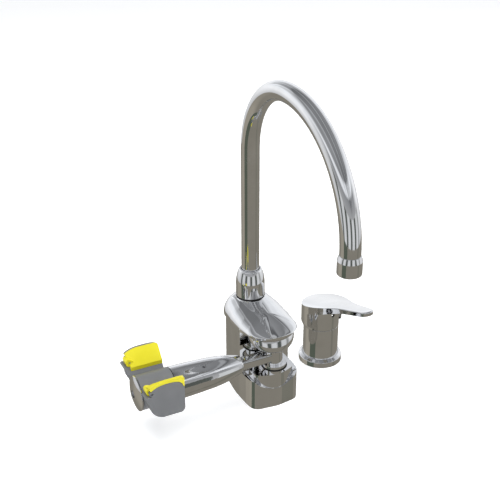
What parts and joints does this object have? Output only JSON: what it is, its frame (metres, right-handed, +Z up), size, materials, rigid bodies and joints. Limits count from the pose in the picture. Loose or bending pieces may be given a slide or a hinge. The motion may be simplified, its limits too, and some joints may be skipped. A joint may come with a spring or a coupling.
{
  "type": "eyewash faucet",
  "caption": "Deck faucet with gooseneck spout, swing-out eyewash arm that opens its valve as it turns, and separate lever mixer.",
  "frame": {"origin": "riser axis of the spout at deck level", "axes": "+Z up, -Y towards the basin and the user, +X to the mixer; the arm rests along -X"},
  "size_m": [0.2722, 0.2268, 0.3567],
  "materials": {
    "chrome": "polished",
    "brass": "machined",
    "steel": "satin",
    "black_rubber": "matt",
    "grey_plastic": "satin",
    "yellow_plastic": "semi-gloss",
    "white_plastic": "matt",
    "ceramic": "ground"
  },
  "bodies": {
    "faucet": {"body_foot": "chrome", "body_column": "chrome", "body_nose": "chrome", "top_cover": "chrome", "base_gasket": "black_rubber", "spout_collar": "chrome", "collar_o_ring": "black_rubber", "spout_socket": "brass", "spout_bushing": "white_plastic", "spout_retainer": "steel", "pivot_socket": "chrome", "upper_bushing": "white_plastic", "lower_bushing": "white_plastic", "valve_seat": "brass", "valve_spring": "steel", "mixer_flange": "chrome", "mixer_gasket": "black_rubber", "mixer_body": "chrome", "cartridge_housing": "white_plastic", "cartridge_seals": "black_rubber", "fixed_ceramic_disc": "ceramic", "bonnet_nut": "brass"},
    "spout": {"spout_tube": "chrome", "spout_end_fitting": "brass", "spout_o_rings": "black_rubber", "aerator_shell": "chrome", "aerator_insert": "white_plastic", "aerator_screen": "steel", "aerator_washer": "black_rubber"},
    "arm": {"swing_stem": "chrome", "stem_clip": "steel", "valve_cam": "brass", "pivot_washer": "chrome", "pivot_o_ring": "black_rubber", "arm_bar": "chrome", "arm_shell": "chrome", "arm_set_screw": "steel", "arm_water_tube": "brass", "arm_o_ring": "black_rubber", "head_body": "grey_plastic", "head_strainer": "steel", "nozzle_insert_left": "white_plastic", "nozzle_insert_right": "white_plastic", "hinge_pins": "steel", "end_cap": "chrome", "end_cap_gasket": "black_rubber"},
    "plunger": {"valve_plunger": "steel", "valve_disc": "black_rubber"},
    "flap_left": {"dust_cover_left": "yellow_plastic"},
    "flap_right": {"dust_cover_right": "yellow_plastic"},
    "mixer_spindle": {"cartridge_rotor": "white_plastic", "cartridge_pin": "steel"},
    "mixer_lever": {"mixer_handle": "chrome", "handle_set_screw": "steel", "cartridge_lever": "brass"},
    "mixing_disc": {"moving_ceramic_disc": "ceramic"}
  },
  "joints": [
    {"name": "spout_swivel", "type": "hinge", "parent": "faucet", "child": "spout", "pos_m": [0, 0, 0.106], "axis": [0, 0, 1], "range_deg": [-90, 90]},
    {"name": "arm_swing", "type": "hinge", "parent": "faucet", "child": "arm", "pos_m": [0, -0.055, 0.059], "axis": [0, 0, 1], "range_deg": [0, 90]},
    {"name": "valve_lift", "type": "slide", "parent": "faucet", "child": "plunger", "axis": [0, 0, -1], "range_m": [0, 0.003], "deforming": ["valve_spring"]},
    {"name": "flap_left_hinge", "type": "hinge", "parent": "arm", "child": "flap_left", "pos_m": [-0.151, -0.027, 0.079], "axis": [0, -1, 0], "range_deg": [0, 90]},
    {"name": "flap_right_hinge", "type": "hinge", "parent": "arm", "child": "flap_right", "pos_m": [-0.151, -0.083, 0.079], "axis": [0, -1, 0], "range_deg": [0, 90]},
    {"name": "mixer_turn", "type": "hinge", "parent": "faucet", "child": "mixer_spindle", "pos_m": [0.0896, -0.00306, 0.046], "axis": [0, 0, 1], "range_deg": [-45, 45]},
    {"name": "mixer_tilt", "type": "hinge", "parent": "mixer_spindle", "child": "mixer_lever", "pos_m": [0.0896, -0.00306, 0.046], "axis": [-0.9877, -0.1564, 0], "range_deg": [0, 15]},
    {"name": "mixing_slide", "type": "slide", "parent": "mixer_spindle", "child": "mixing_disc", "axis": [0.1564, -0.9877, 0], "range_m": [0, 0.0035]}
  ],
  "couplings": [
    {"joint": "valve_lift", "follows": "arm_swing", "m_per_rad": 0.0019},
    {"joint": "mixing_slide", "follows": "mixer_tilt", "m_per_rad": 0.013}
  ]
}
